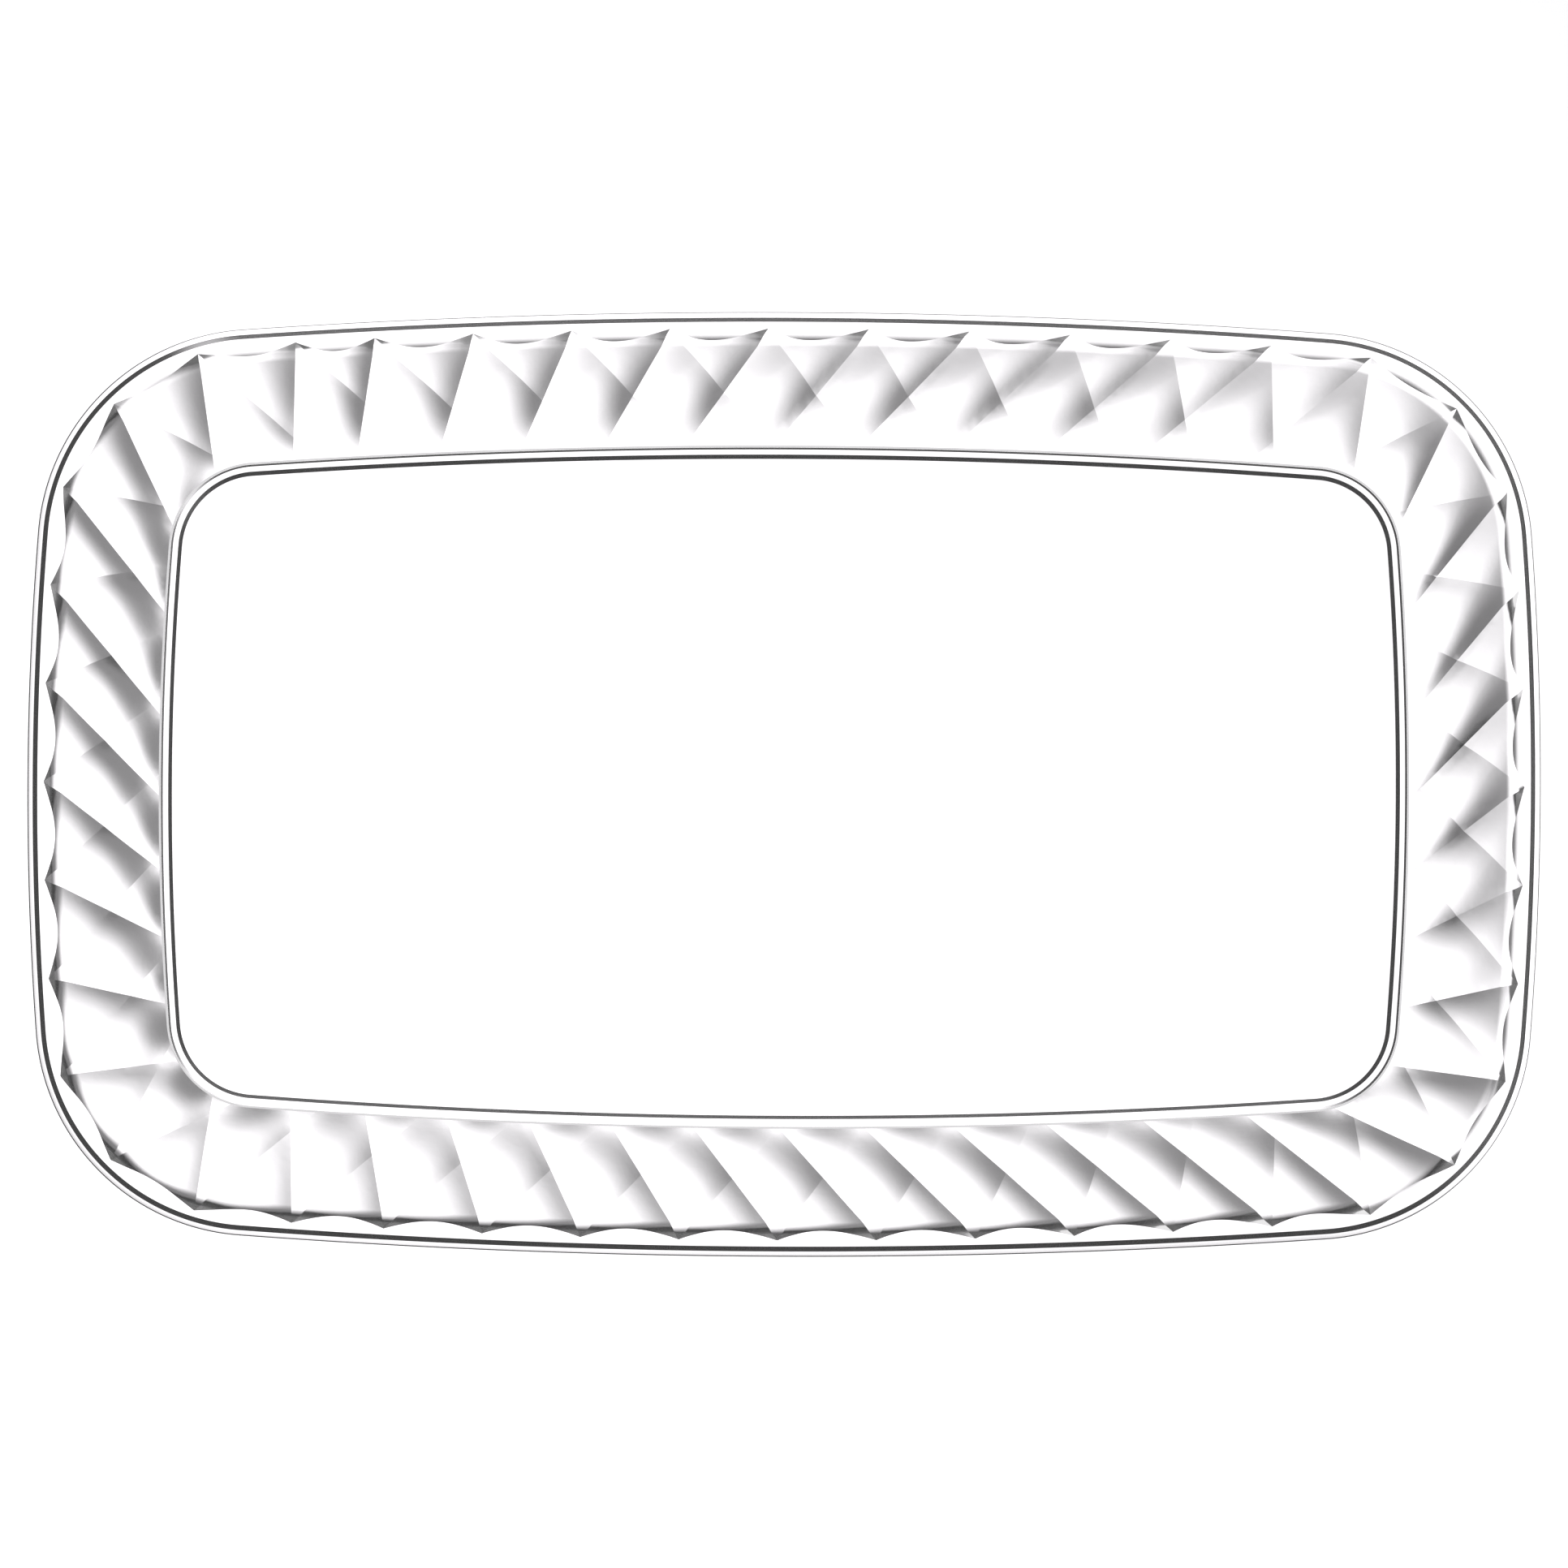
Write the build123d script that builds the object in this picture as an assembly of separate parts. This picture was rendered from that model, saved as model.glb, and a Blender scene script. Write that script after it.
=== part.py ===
from build123d import *
from math import atan2, cos, hypot, pi, radians, sin, sqrt
import os

# A rectangular serving platter, moulded in one shot from clear plastic.
# Frame: the middle of the underside is the origin, +X runs along the length, +Z is up. Millimetres.

# Plan outline: four shallow arcs joined by four corner arcs.
LENGTH = 406.4
WIDTH = 254.0
LONG_EDGE_RADIUS = 2049.0
SHORT_EDGE_RADIUS = 890.0
CORNER_RADIUS = 59.0

# Heights above the table.
HEIGHT = 22.0
FLANGE_TOP = 20.8
RIM_UNDERSIDE = 19.6
SLOPE_FOOT = 5.2
FLOOR_TOP = 2.0
RIDGE_FOOT = 2.4

# Insets from the outline, measured square to it.
FLANGE_WIDTH = 1.6
BEAD_FOOT = 2.7
SLOPE_START = 5.0
SLOPE_END = 37.4
FLOOR_EDGE = 38.2
NODE_INSET = 4.0
RIDGE_END_INSET = 33.0
WALL_FOOT = 36.0
WALL_HEAD = 35.5

# Diamond pattern under the rim: nodes on the rim, two straight ridges from each.
LONG_SIDE_PITCHES = 14
SHORT_SIDE_PITCHES = 8
STITCH_PITCH = 23.0
STITCH_PLACE = 2
MIDDLE_RIDGE_ANGLE = 37.0
RIDGE_ANGLE_TURN = 29.5
RIDGE_ANGLE_CURL = 15.5
CORNER_RIDGE_SPREAD = 20.0
CUP_DEPTH = 0.9

OUTSIDE = 3.0
BELOW = 1.0


def corner_centre():
    """Centre of the corner arc in the +X +Y quadrant, tangent to both shallow arcs."""
    long_centre = WIDTH / 2 - LONG_EDGE_RADIUS
    short_centre = LENGTH / 2 - SHORT_EDGE_RADIUS
    to_long = LONG_EDGE_RADIUS - CORNER_RADIUS
    to_short = SHORT_EDGE_RADIUS - CORNER_RADIUS
    span = hypot(short_centre, long_centre)
    along = (to_long**2 - to_short**2 + span**2) / (2 * span)
    aside = sqrt(to_long**2 - along**2)
    ux, uy = short_centre / span, -long_centre / span
    return ux * along + uy * aside, long_centre + uy * along - ux * aside


CORNER_X, CORNER_Y = corner_centre()
LONG_TURN = atan2(CORNER_X, CORNER_Y - (WIDTH / 2 - LONG_EDGE_RADIUS))
SHORT_TURN = atan2(CORNER_Y, CORNER_X - (LENGTH / 2 - SHORT_EDGE_RADIUS))
CORNER_TURN = pi / 2 - LONG_TURN - SHORT_TURN


def quadrant_point(inset, heading):
    """Point of the inset outline in the +X +Y quadrant whose outward normal is heading radians from +Y."""
    if heading <= LONG_TURN:
        radius = LONG_EDGE_RADIUS - inset
        return radius * sin(heading), WIDTH / 2 - LONG_EDGE_RADIUS + radius * cos(heading)
    if heading >= LONG_TURN + CORNER_TURN:
        radius = SHORT_EDGE_RADIUS - inset
        return LENGTH / 2 - SHORT_EDGE_RADIUS + radius * sin(heading), radius * cos(heading)
    radius = CORNER_RADIUS - inset
    return CORNER_X + radius * sin(heading), CORNER_Y + radius * cos(heading)


def outline_point(inset, heading):
    """Point of the inset outline for any heading, clockwise from +Y."""
    turned = heading % (2 * pi)
    quarter = int(turned // (pi / 2))
    rest = turned - quarter * pi / 2
    folded = rest if quarter % 2 == 0 else pi / 2 - rest
    x, y = quadrant_point(inset, folded)
    sign_x = 1 if quarter < 2 else -1
    sign_y = 1 if quarter in (0, 3) else -1
    return sign_x * x, sign_y * y


def outline(inset, z):
    """Closed wire of eight tangent arcs, inset from the outline of the platter, at height z."""
    first = LONG_TURN
    second = pi / 2 - SHORT_TURN
    ends = [first, second, pi - second, pi - first, pi + first, pi + second, -second, -first]
    arcs = []
    for start, end in zip(ends, ends[1:] + ends[:1]):
        sweep = (end - start) % (2 * pi)
        places = [outline_point(inset, start + sweep * share) for share in (0, 0.5, 1)]
        arcs.append(ThreePointArc(*[(x, y, z) for x, y in places]))
    return Wire(arcs)


def side_length(inset, edge_radius, edge_turn):
    """Length of one side of the inset outline, from the middle of a corner to the middle of the next."""
    return (CORNER_RADIUS - inset) * CORNER_TURN + 2 * (edge_radius - inset) * edge_turn


def side_headings(count, edge_radius, edge_turn, stitch_place=None):
    """Headings of the nodes of one side, measured from the side's own middle, first corner included."""
    total = side_length(NODE_INSET, edge_radius, edge_turn)
    plain = total / count
    pitches = [plain] * count
    if stitch_place is not None:
        pitches = [(total - STITCH_PITCH) / (count - 1)] * count
        pitches[stitch_place] = STITCH_PITCH
    shallow = (edge_radius - NODE_INSET) * edge_turn
    headings = []
    place = -total / 2
    for pitch in pitches:
        beyond = max(abs(place) - shallow, 0)
        turn = min(abs(place), shallow) / (edge_radius - NODE_INSET) + beyond / (CORNER_RADIUS - NODE_INSET)
        headings.append(turn if place > 0 else -turn)
        place += pitch
    return headings


def ridge_angle(share):
    """Angle of a ridge from the side's normal, for a node at a share of the side, -1 to 1 along its run."""
    return radians(MIDDLE_RIDGE_ANGLE - RIDGE_ANGLE_TURN * share - RIDGE_ANGLE_CURL * share**2)


def make_nodes():
    """Nodes clockwise from the -X +Y corner, each with its place and its two ridge directions."""
    long_side = (LONG_SIDE_PITCHES, LONG_EDGE_RADIUS, LONG_TURN)
    short_side = (SHORT_SIDE_PITCHES, SHORT_EDGE_RADIUS, SHORT_TURN)
    nodes = []
    for quarter, (count, radius, turn) in enumerate([long_side, short_side, long_side, short_side]):
        stitch = {0: STITCH_PLACE, 2: count - 1 - STITCH_PLACE}.get(quarter)
        normal = quarter * pi / 2
        for step, heading in enumerate(side_headings(count, radius, turn, stitch)):
            share = step / (count / 2) - 1
            share *= count / (count - 2)
            onward = normal + pi - ridge_angle(share)
            back = normal + pi + ridge_angle(-share)
            if step == 0:
                inward = normal - pi / 4 + pi
                onward = inward - radians(CORNER_RIDGE_SPREAD)
                back = inward + radians(CORNER_RIDGE_SPREAD)
            nodes.append((outline_point(NODE_INSET, normal + heading), onward, back))
    return nodes


def crossing(start, heading, other_start, other_heading):
    """Where two straight lines in plan cross, each from a point along a heading clockwise from +Y."""
    dx, dy = sin(heading), cos(heading)
    ex, ey = sin(other_heading), cos(other_heading)
    wx, wy = other_start[0] - start[0], other_start[1] - start[1]
    travel = (wx * ey - wy * ex) / (dx * ey - dy * ex)
    return start[0] + dx * travel, start[1] + dy * travel


def heading_of(point):
    """Heading of the outline where a plan point lies square to it."""
    x, y = abs(point[0]), abs(point[1])
    folded = atan2(x - CORNER_X, y - CORNER_Y)
    long_heading = atan2(x, y - (WIDTH / 2 - LONG_EDGE_RADIUS))
    short_heading = atan2(y, x - (LENGTH / 2 - SHORT_EDGE_RADIUS))
    if long_heading < LONG_TURN:
        folded = long_heading
    elif short_heading < SHORT_TURN:
        folded = pi / 2 - short_heading
    if point[1] < 0:
        folded = pi - folded
    return folded if point[0] > 0 else -folded


def make_lattice():
    """Rim nodes, ridge crossings and ridge feet, as rings of points clockwise round the platter."""
    nodes = make_nodes()
    rim, mid, foot = [], [], []
    for step, (place, onward, back) in enumerate(nodes):
        before = nodes[step - 1]
        after = nodes[(step + 1) % len(nodes)]
        cross = crossing(place, onward, after[0], after[2])
        meet = crossing(before[0], before[1], after[0], after[2])
        end = outline_point(RIDGE_END_INSET, heading_of(meet))
        depth = NODE_INSET + hypot(place[0] - cross[0], place[1] - cross[1]) * cos(onward - heading_of(cross) - pi)
        fall = (RIM_UNDERSIDE - RIDGE_FOOT) / (RIDGE_END_INSET - NODE_INSET)
        rim.append(Vector(place[0], place[1], RIM_UNDERSIDE))
        mid.append(Vector(cross[0], cross[1], RIM_UNDERSIDE - (depth - NODE_INSET) * fall))
        foot.append(Vector(end[0], end[1], RIDGE_FOOT))
    return rim, mid, foot


def polygon(points):
    """Flat face through points that lie in one plane."""
    return Face(Wire.make_polygon(points, close=True))


def cup(points):
    """A cell between ridges, as flat triangles that rise from its ridges to its middle."""
    middle = sum(points, Vector(0, 0, 0)) / len(points) + Vector(0, 0, CUP_DEPTH)
    return [polygon([first, second, middle]) for first, second in zip(points, points[1:] + points[:1])]


def ring_face(outer, inner):
    """Flat face between two closed rings of points."""
    return Face(Wire.make_polygon(outer, close=True), [Wire.make_polygon(inner, close=True)])


def make_rim_slab():
    """Everything above the faceted underside of the rim, up to above the platter."""
    rim, mid, foot = make_lattice()
    count = len(rim)
    top = HEIGHT + BELOW
    inner = [Vector(*outline_point(FLOOR_EDGE + OUTSIDE, heading_of((p.X, p.Y))), RIDGE_FOOT) for p in foot]
    faces = []
    for step in range(count):
        after = (step + 1) % count
        faces += cup([rim[step], rim[after], mid[step]])
        faces += cup([rim[step], mid[step], foot[step], mid[step - 1]])
        faces += cup([mid[step], foot[after], foot[step]])
        for ring in (rim, inner):
            low, low_after = ring[step], ring[after]
            high, high_after = Vector(low.X, low.Y, top), Vector(low_after.X, low_after.Y, top)
            faces.append(polygon([low, low_after, high_after, high]))
    faces.append(ring_face(foot, inner))
    faces.append(ring_face([Vector(p.X, p.Y, top) for p in rim], [Vector(p.X, p.Y, top) for p in inner]))
    return Solid(Shell(faces))


def frustum(low_inset, low_z, high_inset, high_z):
    """Solid between two inset outlines, straight from one to the other."""
    return Solid.make_loft([outline(low_inset, low_z), outline(high_inset, high_z)], ruled=True)


def prism(inset, low_z, high_z):
    """Upright solid inside an inset outline."""
    return extrude(Face(outline(inset, low_z)), high_z - low_z, dir=(0, 0, 1))


def make_upper():
    """All that lies under the food side: flange, bead, sloping rim, step and floor."""
    body = prism(0, 0, FLANGE_TOP) + frustum(FLANGE_WIDTH, FLANGE_TOP, BEAD_FOOT, HEIGHT)
    body -= frustum(SLOPE_END, SLOPE_FOOT, SLOPE_START, HEIGHT)
    return body - frustum(FLOOR_EDGE, FLOOR_TOP, SLOPE_END, SLOPE_FOOT)


def make_platter():
    """The whole moulding: a thin shell whose rim is cut into cups from below."""
    upper = make_upper()
    under_rim = prism(-OUTSIDE, -BELOW, RIM_UNDERSIDE) - frustum(WALL_HEAD, -BELOW, WALL_FOOT, RIM_UNDERSIDE)
    return (upper - under_rim) + (upper & make_rim_slab())


platter = make_platter()
os.makedirs("parts", exist_ok=True)
export_step(platter, "parts/platter.step")
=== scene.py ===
from math import atan2, cos, hypot, pi, radians, sin, sqrt, tan

import bmesh
import bpy
import numpy as np
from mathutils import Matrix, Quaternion, Vector
from mathutils.geometry import delaunay_2d_cdt


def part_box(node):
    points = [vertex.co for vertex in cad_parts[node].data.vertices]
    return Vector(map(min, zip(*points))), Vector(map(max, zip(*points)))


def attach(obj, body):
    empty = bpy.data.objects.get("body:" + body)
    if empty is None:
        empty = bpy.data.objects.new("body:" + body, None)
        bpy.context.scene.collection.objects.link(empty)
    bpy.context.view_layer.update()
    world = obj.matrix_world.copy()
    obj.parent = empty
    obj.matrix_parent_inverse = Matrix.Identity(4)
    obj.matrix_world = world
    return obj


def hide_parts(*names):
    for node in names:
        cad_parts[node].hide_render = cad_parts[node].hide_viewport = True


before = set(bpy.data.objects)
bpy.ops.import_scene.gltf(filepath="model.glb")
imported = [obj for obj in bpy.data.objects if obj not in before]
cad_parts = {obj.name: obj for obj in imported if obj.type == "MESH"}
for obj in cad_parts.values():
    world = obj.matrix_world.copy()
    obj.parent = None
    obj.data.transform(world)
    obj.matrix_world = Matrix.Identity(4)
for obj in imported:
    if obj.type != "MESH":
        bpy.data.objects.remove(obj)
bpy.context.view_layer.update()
MM = 0.001

# The platter's plan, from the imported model's box.
platter_low, platter_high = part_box("platter")
HALF_LENGTH = (platter_high.x - platter_low.x) / 2
HALF_WIDTH = (platter_high.y - platter_low.y) / 2
LONG_EDGE_RADIUS = 2049 * MM
SHORT_EDGE_RADIUS = 890 * MM
CORNER_RADIUS = 59 * MM

# Heights of the rim, and insets from the outline at which its parts start and end.
RIM_TOP = platter_high.z
RIM_UNDERSIDE = RIM_TOP - 2.1 * MM
SLOPE_FOOT = 3.4 * MM
SLOPE_END = 36.1 * MM
RIDGE_FOOT = 0.9 * MM
NODE_INSET = 4.4 * MM
SLOPE_START = 5.9 * MM
SLOPE_ROUNDING = 3.4 * MM
WALL_HEAD = 34.2 * MM
BORDER_INSET = 2.3 * MM

# The diamond pattern.
LONG_SIDE_PITCHES = 14
SHORT_SIDE_PITCHES = 8
CUP_DEPTH_AT_RIM = 1.5 * MM
CUP_DEEPER_INWARD = 0.5 * MM
CUP_DEEPER_ON_SHORT_SIDES = 1.0 * MM
CUP_DEEPER_ABOVE = 1.0 * MM
# Lean is how much more one family of ridges is creased than the other. It changes round the rim.
CUP_LEAN = 0.6
CUP_LEAN_BY_SIDE = 0.25
LEAN_FADE = 0.28
SHORT_SIDE_FADE = 0.2
ABOVE_FADE = 0.5
PERIMETER_POINTS = 1100
GRID_SPACING = 1.3 * MM
GRID_CLEARANCE = 0.45 * GRID_SPACING
SCALLOP_STEPS = 26
WELD_DISTANCE = 0.001 * MM


# ---------------------------------------------------------------- plan geometry

def corner_centre():
    """Centre of the corner arc in the +X +Y quadrant, tangent to both shallow arcs."""
    long_centre = HALF_WIDTH - LONG_EDGE_RADIUS
    short_centre = HALF_LENGTH - SHORT_EDGE_RADIUS
    to_long = LONG_EDGE_RADIUS - CORNER_RADIUS
    to_short = SHORT_EDGE_RADIUS - CORNER_RADIUS
    span = hypot(short_centre, long_centre)
    along = (to_long**2 - to_short**2 + span**2) / (2 * span)
    aside = sqrt(to_long**2 - along**2)
    ux, uy = short_centre / span, -long_centre / span
    return ux * along + uy * aside, long_centre + uy * along - ux * aside


CORNER_X, CORNER_Y = corner_centre()
LONG_CENTRE = HALF_WIDTH - LONG_EDGE_RADIUS
SHORT_CENTRE = HALF_LENGTH - SHORT_EDGE_RADIUS
LONG_TURN = atan2(CORNER_X, CORNER_Y - LONG_CENTRE)
SHORT_TURN = atan2(CORNER_Y, CORNER_X - SHORT_CENTRE)
CORNER_TURN = pi / 2 - LONG_TURN - SHORT_TURN


def outline_point(inset, heading):
    """Point of the inset outline whose outward normal is heading radians clockwise from +Y."""
    turned = heading % (2 * pi)
    quarter = int(turned // (pi / 2))
    folded = turned - quarter * pi / 2
    if quarter % 2:
        folded = pi / 2 - folded
    if folded <= LONG_TURN:
        radius, cx, cy = LONG_EDGE_RADIUS - inset, 0, LONG_CENTRE
    elif folded >= LONG_TURN + CORNER_TURN:
        radius, cx, cy = SHORT_EDGE_RADIUS - inset, SHORT_CENTRE, 0
    else:
        radius, cx, cy = CORNER_RADIUS - inset, CORNER_X, CORNER_Y
    x, y = cx + radius * sin(folded), cy + radius * cos(folded)
    return Vector((x if quarter < 2 else -x, y if quarter in (0, 3) else -y))


def inset_of(points):
    """Inset from the outline of each plan point of an array."""
    x, y = np.abs(points[:, 0]), np.abs(points[:, 1])
    by_corner = CORNER_RADIUS - np.hypot(x - CORNER_X, y - CORNER_Y)
    by_long = LONG_EDGE_RADIUS - np.hypot(x, y - LONG_CENTRE)
    by_short = SHORT_EDGE_RADIUS - np.hypot(x - SHORT_CENTRE, y)
    on_long = np.arctan2(x, y - LONG_CENTRE) < LONG_TURN
    on_short = np.arctan2(y, x - SHORT_CENTRE) < SHORT_TURN
    beyond_corner = (x < CORNER_X) & (y < CORNER_Y)
    near = np.where(beyond_corner, np.minimum(by_long, by_short), by_corner)
    return np.where(on_long & (y > CORNER_Y), by_long, np.where(on_short & (x > CORNER_X), by_short, near))


def perimeter_headings(count):
    """Headings that space points evenly along an outline inset halfway across the rim."""
    inset = 20 * MM
    parts = [
        (LONG_EDGE_RADIUS - inset, LONG_TURN),
        (CORNER_RADIUS - inset, CORNER_TURN),
        (SHORT_EDGE_RADIUS - inset, SHORT_TURN),
    ]
    turns = [t for _, t in parts] + [t for _, t in reversed(parts)]
    radii = [r for r, _ in parts] + [r for r, _ in reversed(parts)]
    turns, radii = turns * 2, radii * 2
    lengths = [t * r for t, r in zip(turns, radii)]
    ends = np.concatenate([[0], np.cumsum(lengths)])
    headings = np.concatenate([[0], np.cumsum(turns)])
    places = np.linspace(0, ends[-1], count, endpoint=False)
    return np.interp(places, ends, headings)


# ---------------------------------------------------------------- ridges under the rim

MIDDLE_ANGLE = 37.0
ANGLE_TURN = 29.5
ANGLE_CURL = 15.5
CORNER_SPREAD = radians(20)
# Each side clockwise from the -X +Y corner: pitches, edge radius, turn, place of the middle node,
# and the number and length of the one pitch that differs from its neighbours.
SIDES = [
    (LONG_SIDE_PITCHES, LONG_EDGE_RADIUS, LONG_TURN, -4.6 * MM, (2, 21.3 * MM)),
    (SHORT_SIDE_PITCHES, SHORT_EDGE_RADIUS, SHORT_TURN, 0, None),
    (LONG_SIDE_PITCHES, LONG_EDGE_RADIUS, LONG_TURN, 1.4 * MM, (11, 24.8 * MM)),
    (SHORT_SIDE_PITCHES, SHORT_EDGE_RADIUS, SHORT_TURN, 0, None),
]


def side_places(half, count, middle, odd_pitch):
    """Distances of a side's nodes from its middle, first corner included."""
    places = [-half]
    for first, start, end in ((0, -half, middle), (count // 2, middle, half)):
        pitches = [(end - start) / (count // 2)] * (count // 2)
        if odd_pitch and first <= odd_pitch[0] < first + count // 2:
            pitches = [(end - start - odd_pitch[1]) / (count // 2 - 1)] * (count // 2)
            pitches[odd_pitch[0] - first] = odd_pitch[1]
        for pitch in pitches:
            places.append(places[-1] + pitch)
    return places[:-1]


def side_angle(share):
    """Angle of a ridge from its side's normal. Share runs from -1 to 1 along the side, as the ridge goes."""
    return radians(MIDDLE_ANGLE - ANGLE_TURN * share - ANGLE_CURL * share**2)


def make_nodes():
    """Nodes round the rim as (place, heading of the onward ridge, heading of the backward ridge)."""
    nodes = []
    for quarter, (count, radius, turn, middle, odd_pitch) in enumerate(SIDES):
        normal = quarter * pi / 2
        shallow = (radius - NODE_INSET) * turn
        half = shallow + (CORNER_RADIUS - NODE_INSET) * CORNER_TURN / 2
        for step, place in enumerate(side_places(half, count, middle, odd_pitch)):
            beyond = max(abs(place) - shallow, 0)
            heading = min(abs(place), shallow) / (radius - NODE_INSET)
            heading += beyond / (CORNER_RADIUS - NODE_INSET)
            share = place / (half * (1 - 2 / count))
            onward, back = pi - side_angle(share), pi + side_angle(-share)
            if step == 0:
                onward, back = 3 * pi / 4 - CORNER_SPREAD, 3 * pi / 4 + CORNER_SPREAD
            start = outline_point(NODE_INSET, normal + (heading if place > 0 else -heading))
            nodes.append((start, normal + onward, normal + back))
    return nodes


NODES = make_nodes()
NODE_PLACES = np.array([node[0][:] for node in NODES])
RIDGE_WAYS = [np.array([(sin(node[side]), cos(node[side])) for node in NODES]) for side in (1, 2)]
REACH = 75 * MM


def family_share(points, ways):
    """Where each point lies between two neighbouring ridges of one family: 0 on one, 1 on the next."""
    gap = points[:, None, :] - NODE_PLACES[None]
    aside = gap[:, :, 1] * ways[None, :, 0] - gap[:, :, 0] * ways[None, :, 1]
    aside = np.where(np.hypot(gap[:, :, 0], gap[:, :, 1]) < REACH, aside, np.nan)
    after = np.roll(aside, -1, axis=1)
    with np.errstate(invalid="ignore"):
        width = np.where((aside >= 0) & (after < 0), aside - after, np.inf)
    width = np.where(np.isnan(width), np.inf, width)
    best = np.argmin(width, axis=1)
    rows = np.arange(len(points))
    chosen = width[rows, best]
    share = np.where(np.isinf(chosen), 0, aside[rows, best] / np.where(np.isinf(chosen), 1, chosen))
    return np.nan_to_num(share), np.nanmin(np.abs(np.where(np.isnan(aside), np.inf, aside)), axis=1)


FOOD_SLOPE = (RIM_TOP - SLOPE_FOOT) / (SLOPE_END - SLOPE_START - SLOPE_ROUNDING / 2)


def food_height(inset):
    """Height of the food side's slope, which starts with a gentle curve."""
    past = np.maximum(inset - SLOPE_START, 0)
    curve = FOOD_SLOPE * np.minimum(past, SLOPE_ROUNDING) ** 2 / (2 * SLOPE_ROUNDING)
    return RIM_TOP - curve - FOOD_SLOPE * np.maximum(past - SLOPE_ROUNDING, 0)


def ridge_height(inset):
    """Height of the places where ridges cross."""
    return RIM_UNDERSIDE - (RIM_UNDERSIDE - RIDGE_FOOT) * (inset - NODE_INSET) / (WALL_HEAD - NODE_INSET)


def cup_rise(points):
    """How far the underside rises into the cups between ridges, from nothing where ridges cross."""
    onward, _ = family_share(points, RIDGE_WAYS[0])
    back, _ = family_share(points, RIDGE_WAYS[1])
    along, aside = points[:, 0] / HALF_LENGTH, points[:, 1] / HALF_WIDTH
    lean = CUP_LEAN * np.tanh((aside - along) / LEAN_FADE) + CUP_LEAN_BY_SIDE * (aside**2 - along**2)
    across_onward = (1 - lean) / 2 * (1 - (2 * onward - 1) ** 2)
    across_back = (1 + lean) / 2 * (1 - (2 * back - 1) ** 2)
    inward = (inset_of(points) - NODE_INSET) / (WALL_HEAD - NODE_INSET)
    on_short_side = (1 + np.tanh((along**2 - aside**2) / SHORT_SIDE_FADE)) / 2
    above = ((aside - np.abs(along)) / ABOVE_FADE).clip(0, 1)
    deeper = CUP_DEEPER_INWARD + CUP_DEEPER_ON_SHORT_SIDES * on_short_side + CUP_DEEPER_ABOVE * above
    depth = CUP_DEPTH_AT_RIM + deeper * (1 - (1 - inward.clip(0, 1)) ** 3)
    return depth * (1 - inward**4) * (across_onward + across_back)


def under_height(points):
    """Height of the rim's underside."""
    return np.minimum(RIM_UNDERSIDE, ridge_height(inset_of(points)) + cup_rise(points))


SCALLOP_ROUNDS = 60
HALVINGS = 40


def scallop(first, second, steps):
    """The arc between two nodes along which the cup leaves the flat border."""
    shares = np.linspace(0, 1, steps + 1)
    chord = first + (second - first) * shares[:, None]
    inward = np.array([-(second - first)[1], (second - first)[0]])
    inward /= -np.hypot(*inward)
    depth = np.zeros(len(shares))
    for _ in range(SCALLOP_ROUNDS):
        points = chord + inward * depth[:, None]
        over = ridge_height(inset_of(points)) + cup_rise(points) - RIM_UNDERSIDE
        depth += over
    depth[[0, -1]] = 0
    return chord + inward * depth[:, None]


def ridge_end(start, heading, inset):
    """Where a straight ridge meets an inset outline."""
    way = np.array([sin(heading), cos(heading)])
    low, high = 0.0, REACH
    for _ in range(HALVINGS):
        middle = (low + high) / 2
        inside = inset_of((start + way * middle)[None])[0] > inset
        low, high = (low, middle) if inside else (middle, high)
    return start + way * low


# ---------------------------------------------------------------- meshes

HEADINGS = perimeter_headings(PERIMETER_POINTS)


def ring(inset):
    return np.array([outline_point(inset, heading)[:] for heading in HEADINGS])


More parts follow.
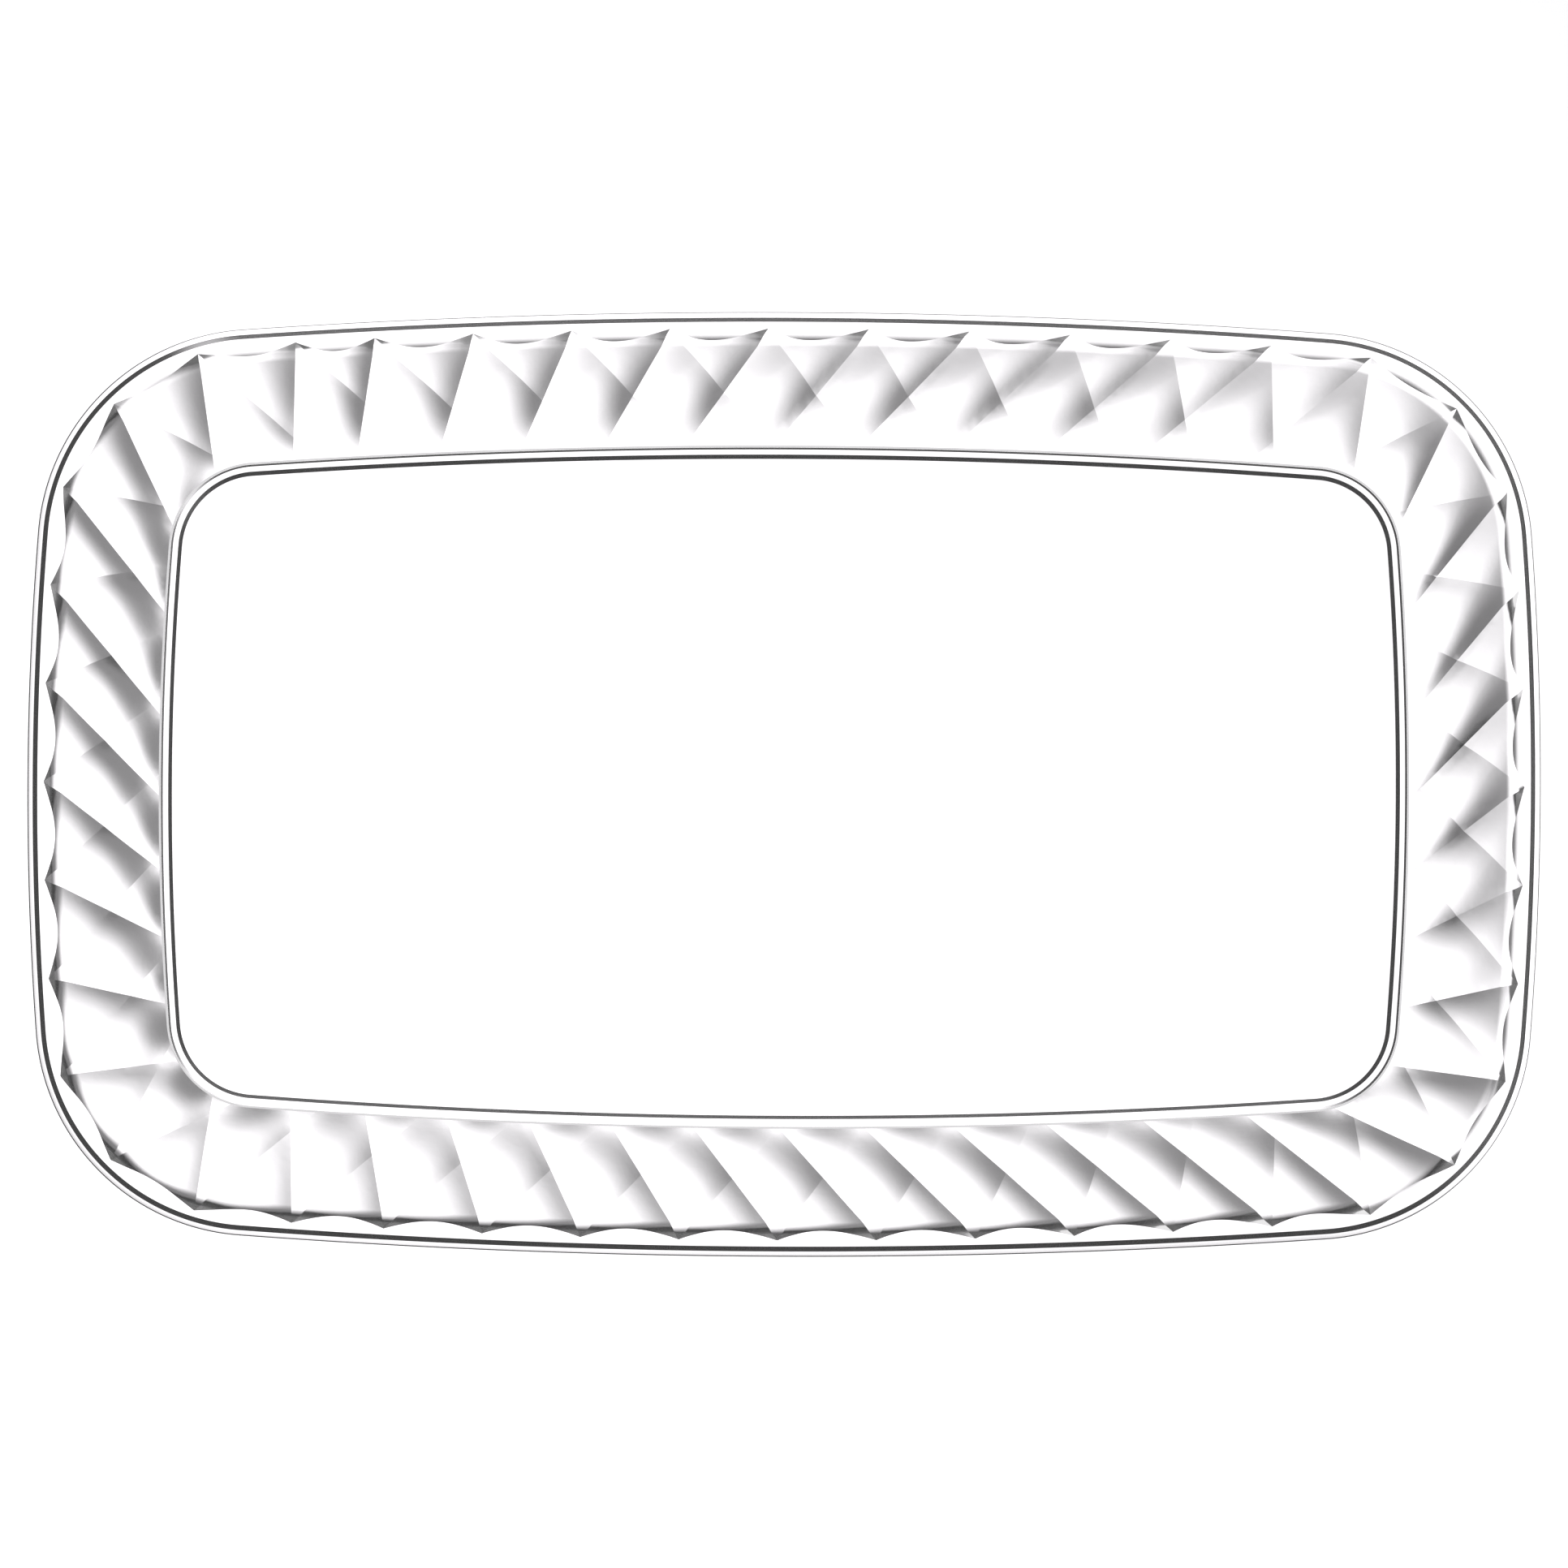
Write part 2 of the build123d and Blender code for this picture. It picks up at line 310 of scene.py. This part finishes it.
def underside_mesh():
    """The rim's underside as points, triangles and sharp edges, with edges along ridges and scallops."""
    border, wall = ring(BORDER_INSET), ring(WALL_HEAD)
    points, edges = [], []

    def add_line(line, closed=False):
        base = len(points)
        points.extend(line)
        edges.extend((base + i, base + i + 1) for i in range(len(line) - 1))
        if closed:
            edges.append((base + len(line) - 1, base))

    add_line(border, closed=True)
    add_line(wall, closed=True)
    for step in range(len(NODES)):
        add_line(scallop(NODE_PLACES[step], NODE_PLACES[(step + 1) % len(NODES)], SCALLOP_STEPS))
    for place, onward, back in NODES:
        for heading in (onward, back):
            start = np.array(place[:])
            end = ridge_end(start, heading, WALL_HEAD)
            end = wall[np.argmin(np.hypot(*(wall - end).T))]
            steps = max(2, int(np.hypot(*(end - start)) / GRID_SPACING))
            add_line([start + (end - start) * i / steps for i in range(steps + 1)])

    across = np.arange(-HALF_LENGTH, HALF_LENGTH, GRID_SPACING)
    up = np.arange(-HALF_WIDTH, HALF_WIDTH, GRID_SPACING * sqrt(3) / 2)
    grid_x, grid_y = np.meshgrid(across, up)
    grid_x[1::2] += GRID_SPACING / 2
    grid = np.stack([grid_x.ravel(), grid_y.ravel()], 1)
    inset = inset_of(grid)
    clear = GRID_CLEARANCE
    grid = grid[(inset > BORDER_INSET + clear) & (inset < WALL_HEAD - clear)]
    inset = inset_of(grid)
    near_ridge = np.minimum(family_share(grid, RIDGE_WAYS[0])[1], family_share(grid, RIDGE_WAYS[1])[1])
    lift = (ridge_height(inset) + cup_rise(grid) - RIM_UNDERSIDE) / FOOD_SLOPE
    grid = grid[((near_ridge > clear) | (inset < NODE_INSET)) & (np.abs(lift) > clear)]
    points.extend(grid)

    made = delaunay_2d_cdt([Vector(p) for p in points], edges, [], 0, 1e-7)
    flat = np.array([p[:] for p in made[0]])
    faces = np.array(made[2])
    middle = inset_of(flat[faces].mean(axis=1))
    faces = faces[(middle > BORDER_INSET) & (middle < WALL_HEAD)]
    outline = len(border)
    sharp = {tuple(sorted(e)) for e, source in zip(made[1], made[4]) if any(s >= outline for s in source)}
    return np.column_stack([flat, under_height(flat)]), faces, sharp


def rounded_profile(corners, arc_steps=5):
    """Points in metres of a profile whose corners are (inset, height, radius) in millimetres, rounded."""
    points = [Vector(corners[0][:2])]
    for before, corner, after in zip(corners, corners[1:], corners[2:]):
        tip = Vector(corner[:2])
        back, on = (Vector(before[:2]) - tip).normalized(), (Vector(after[:2]) - tip).normalized()
        half = back.angle(on) / 2
        centre = tip + (back + on).normalized() * corner[2] / sin(half)
        first, last = tip + back * corner[2] / tan(half), tip + on * corner[2] / tan(half)
        arm, end_arm = first - centre, last - centre
        turn = arm.angle_signed(end_arm)
        for step in range(arc_steps + 1):
            angle = -turn * step / arc_steps
            across = arm.x * cos(angle) - arm.y * sin(angle)
            up = arm.x * sin(angle) + arm.y * cos(angle)
            points.append(centre + Vector((across, up)))
    points.append(Vector(corners[-1][:2]))
    return [(p.x * MM, p.y * MM) for p in points]


# Profiles as (inset, height, corner radius) in millimetres.
# They are the flange and bead, the step into the well, and the wall of the underside.
RIM_EDGE = [
    (2.3, 19.9, 0),
    (0, 19.9, 0.4),
    (0, 20.8, 0.4),
    (1.5, 20.8, 0.2),
    (2.75, 22.0, 0.2),
    (3.3, 22.0, 0),
]
WELL_STEP = [(35.9, 3.53, 0), (36.1, 3.4, 0.1), (37.5, 3.4, 0.15), (38.5, 2.0, 0.25), (41.0, 2.0, 0)]
WALL_SIDE = [(34.2, 0.9, 0), (34.6, 0, 0.1), (41.0, 0, 0)]
STRAIGHT_END = 35.5 * MM


def make_platter():
    """The whole moulding as one closed mesh."""
    under, triangles, sharp = underside_mesh()
    places = [tuple(p) for p in under]
    faces = [tuple(t) for t in triangles]

    def shared_ring(inset):
        """The underside's points that lie on an inset outline, in order round it."""
        return [int(np.argmin(np.hypot(*(under[:, :2] - place).T))) for place in ring(inset)]

    def add_strips(start, profile, heights=None):
        """Bands of faces that follow a profile from a ring, closed by one face at the profile's end."""
        last = start
        for inset, height in profile[1:]:
            base = len(places)
            scale = 1 if heights is None else heights / profile[0][1]
            z = np.broadcast_to(height * scale, (PERIMETER_POINTS,))
            places.extend((x, y, h) for (x, y), h in zip(ring(inset), z))
            new = list(range(base, base + PERIMETER_POINTS))
            for i in range(PERIMETER_POINTS):
                j = (i + 1) % PERIMETER_POINTS
                faces.append((last[i], last[j], new[j], new[i]))
            last = new
        faces.append(tuple(last))

    curve = np.linspace(SLOPE_START, SLOPE_START + SLOPE_ROUNDING, 11)
    straight = np.linspace(SLOPE_START + SLOPE_ROUNDING, STRAIGHT_END, 5)[1:]
    slope = [(inset, float(food_height(inset))) for inset in np.concatenate([curve, straight])]
    food_side = rounded_profile(RIM_EDGE) + slope + rounded_profile(WELL_STEP)[1:]
    add_strips(shared_ring(BORDER_INSET), food_side)
    wall = shared_ring(WALL_HEAD)
    add_strips(wall, rounded_profile(WALL_SIDE), np.array([places[i][2] for i in wall]))

    mesh = bpy.data.meshes.new("clear_platter")
    mesh.from_pydata([tuple(map(float, p)) for p in places], [], [tuple(map(int, f)) for f in faces])
    work = bmesh.new()
    work.from_mesh(mesh)
    for face in work.faces:
        face.smooth = True
    for edge in work.edges:
        pair = tuple(sorted(v.index for v in edge.verts))
        edge.smooth = pair not in sharp
    bmesh.ops.remove_doubles(work, verts=work.verts[:], dist=WELD_DISTANCE)
    bmesh.ops.recalc_face_normals(work, faces=work.faces[:])
    work.to_mesh(mesh)
    work.free()
    platter = bpy.data.objects.new("clear_platter", mesh)
    bpy.context.scene.collection.objects.link(platter)
    return platter


# ---------------------------------------------------------------- materials

def new_material(name):
    material = bpy.data.materials.new(name)
    material.use_nodes = True
    nodes = material.node_tree.nodes
    nodes.clear()
    shader = nodes.new("ShaderNodeBsdfPrincipled")
    output = nodes.new("ShaderNodeOutputMaterial")
    material.node_tree.links.new(shader.outputs[0], output.inputs[0])
    return material, shader


PLASTIC_COLOR = (0.99, 0.968, 0.987, 1)
PLASTIC_IOR = 1.59
GRAIN_PER_METRE = 420
GRAIN_DETAIL = 4.0
POLISHED_BELOW = 0.45
DULL_ABOVE = 0.75
DULLEST = 0.04
RIPPLE_STRENGTH = 0.3
RIPPLE_DEPTH = 0.02 * MM


def clear_plastic():
    """Clear moulded plastic with a faint grain, less polished in places and very slightly rippled."""
    material, shader = new_material("clear_plastic")
    nodes, links = material.node_tree.nodes, material.node_tree.links
    place = nodes.new("ShaderNodeTexCoord")
    grain = nodes.new("ShaderNodeTexNoise")
    grain.inputs["Scale"].default_value = GRAIN_PER_METRE
    grain.inputs["Detail"].default_value = GRAIN_DETAIL
    links.new(place.outputs["Object"], grain.inputs["Vector"])
    polish = nodes.new("ShaderNodeMapRange")
    polish.inputs["From Min"].default_value = POLISHED_BELOW
    polish.inputs["From Max"].default_value = DULL_ABOVE
    polish.inputs["To Min"].default_value = 0.0
    polish.inputs["To Max"].default_value = DULLEST
    links.new(grain.outputs["Fac"], polish.inputs["Value"])
    links.new(polish.outputs["Result"], shader.inputs["Roughness"])
    ripple = nodes.new("ShaderNodeBump")
    ripple.inputs["Strength"].default_value = RIPPLE_STRENGTH
    ripple.inputs["Distance"].default_value = RIPPLE_DEPTH
    links.new(grain.outputs["Fac"], ripple.inputs["Height"])
    links.new(ripple.outputs["Normal"], shader.inputs["Normal"])
    shader.inputs["Base Color"].default_value = PLASTIC_COLOR
    shader.inputs["IOR"].default_value = PLASTIC_IOR
    shader.inputs["Transmission Weight"].default_value = 1.0
    return material


platter = make_platter()
platter.data.materials.append(clear_plastic())
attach(platter, "root")
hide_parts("platter")
# Left out of the floor's reflections, so that each facet is seen once, without its mirror image.
platter.visible_glossy = False


# ---------------------------------------------------------------- floor, light and camera

FLOOR_COLOR = (0.9, 0.9, 0.905, 1)
FLOOR_METAL = 0.98
FLOOR_ROUGHNESS = 0.06
FLOOR_REACH = 6.0
FLOOR_GAP = 0.2 * MM

# Directions in the room are given as Z, their height, or as X/Z and Y/Z, their lean from straight up.
SOFTBOX_EDGE = 0.09
SOFTBOX_SIDES = [(1.0, 0.05), (0.45, 0.76)]
SOFTBOX_FADE = 0.2
SOFTBOX_FAR_EDGE = -0.3
SOFTBOX_FAR_FADE = 0.1
SOFTBOX_STRENGTH = 1.45
CEILING_GREY = 0.2
CEILING_START = (0.955, 0.975)
ROOM_DARK = 0.008
ROOM_PALE = 0.8
WALLS_DARKEN = (0.72, 0.77)
SOFTBOX_HORIZON = 0.1


def make_floor():
    """A pale satin floor just below the platter."""
    mesh = bpy.data.meshes.new("studio_floor")
    ends = ((-1, -1), (1, -1), (1, 1), (-1, 1))
    corners = [(x * FLOOR_REACH, y * FLOOR_REACH, 0) for x, y in ends]
    mesh.from_pydata(corners, [], [(0, 1, 2, 3)])
    floor = bpy.data.objects.new("studio_floor", mesh)
    bpy.context.scene.collection.objects.link(floor)
    material, shader = new_material("studio_floor")
    shader.inputs["Base Color"].default_value = FLOOR_COLOR
    shader.inputs["Metallic"].default_value = FLOOR_METAL
    shader.inputs["Roughness"].default_value = FLOOR_ROUGHNESS
    floor.data.materials.append(material)
    floor.location.z = -FLOOR_GAP


def make_world():
    """Pale walls, a dark zone high up, and a soft panel overhead that ends just past straight up."""
    world = bpy.data.worlds.new("studio")
    bpy.context.scene.world = world
    world.use_nodes = True
    nodes, links = world.node_tree.nodes, world.node_tree.links
    background = nodes["Background"]
    way = nodes.new("ShaderNodeTexCoord")
    split = nodes.new("ShaderNodeSeparateXYZ")
    links.new(way.outputs["Generated"], split.inputs[0])

    def maths(operation, first, second):
        node = nodes.new("ShaderNodeMath")
        node.operation = operation
        for socket, value in zip(node.inputs, (first, second)):
            if isinstance(value, (int, float)):
                socket.default_value = value
            else:
                links.new(value, socket)
        return node.outputs[0]

    def fade(value, start, end, low, high):
        node = nodes.new("ShaderNodeMapRange")
        node.interpolation_type = "SMOOTHSTEP"
        links.new(value, node.inputs["Value"])
        for name, number in (("From Min", start), ("From Max", end), ("To Min", low), ("To Max", high)):
            node.inputs[name].default_value = number
        return node.outputs["Result"]

    def edge(value, middle, width, low, high):
        return fade(value, middle - width / 2, middle + width / 2, low, high)

    height = split.outputs["Z"]
    walls = fade(height, *WALLS_DARKEN, ROOM_PALE, ROOM_DARK)
    ceiling = fade(height, *CEILING_START, 0, CEILING_GREY)
    panel = fade(height, 0.0, SOFTBOX_HORIZON, 0, SOFTBOX_STRENGTH)
    along = maths("DIVIDE", split.outputs["X"], height)
    aside = maths("DIVIDE", split.outputs["Y"], height)
    for across_x, across_y in SOFTBOX_SIDES:
        reach = maths("ADD", maths("MULTIPLY", along, across_x), maths("MULTIPLY", aside, across_y))
        near = edge(reach, SOFTBOX_EDGE, SOFTBOX_FADE, 1, 0)
        far = edge(reach, SOFTBOX_FAR_EDGE, SOFTBOX_FAR_FADE, 0, 1)
        panel = maths("MULTIPLY", panel, maths("MULTIPLY", near, far))
    background.inputs["Color"].default_value = (1, 1, 1, 1)
    links.new(maths("ADD", maths("ADD", walls, ceiling), panel), background.inputs["Strength"])


# The camera looks almost straight down from far off, and sees this width at the rim's height.
RIM_VIEW_WIDTH = 0.4209
CAMERA_DISTANCE = 8.0
CAMERA_TILT = radians(2.3)
CAMERA_ROLL = radians(0.21)


def make_camera():
    data = bpy.data.cameras.new("camera")
    camera = bpy.data.objects.new("camera", data)
    bpy.context.scene.collection.objects.link(camera)
    data.sensor_width = 36
    data.lens = data.sensor_width * CAMERA_DISTANCE / RIM_VIEW_WIDTH
    aim = Vector((0, 0, RIM_TOP))
    back = Vector((0, -sin(CAMERA_TILT), cos(CAMERA_TILT)))
    camera.location = aim + back * CAMERA_DISTANCE
    turn = (-back).to_track_quat("-Z", "Y")
    camera.rotation_mode = "QUATERNION"
    camera.rotation_quaternion = turn @ Quaternion((0, 0, 1), CAMERA_ROLL)
    bpy.context.scene.camera = camera


make_floor()
make_world()
make_camera()
bpy.context.scene.view_settings.view_transform = "Standard"
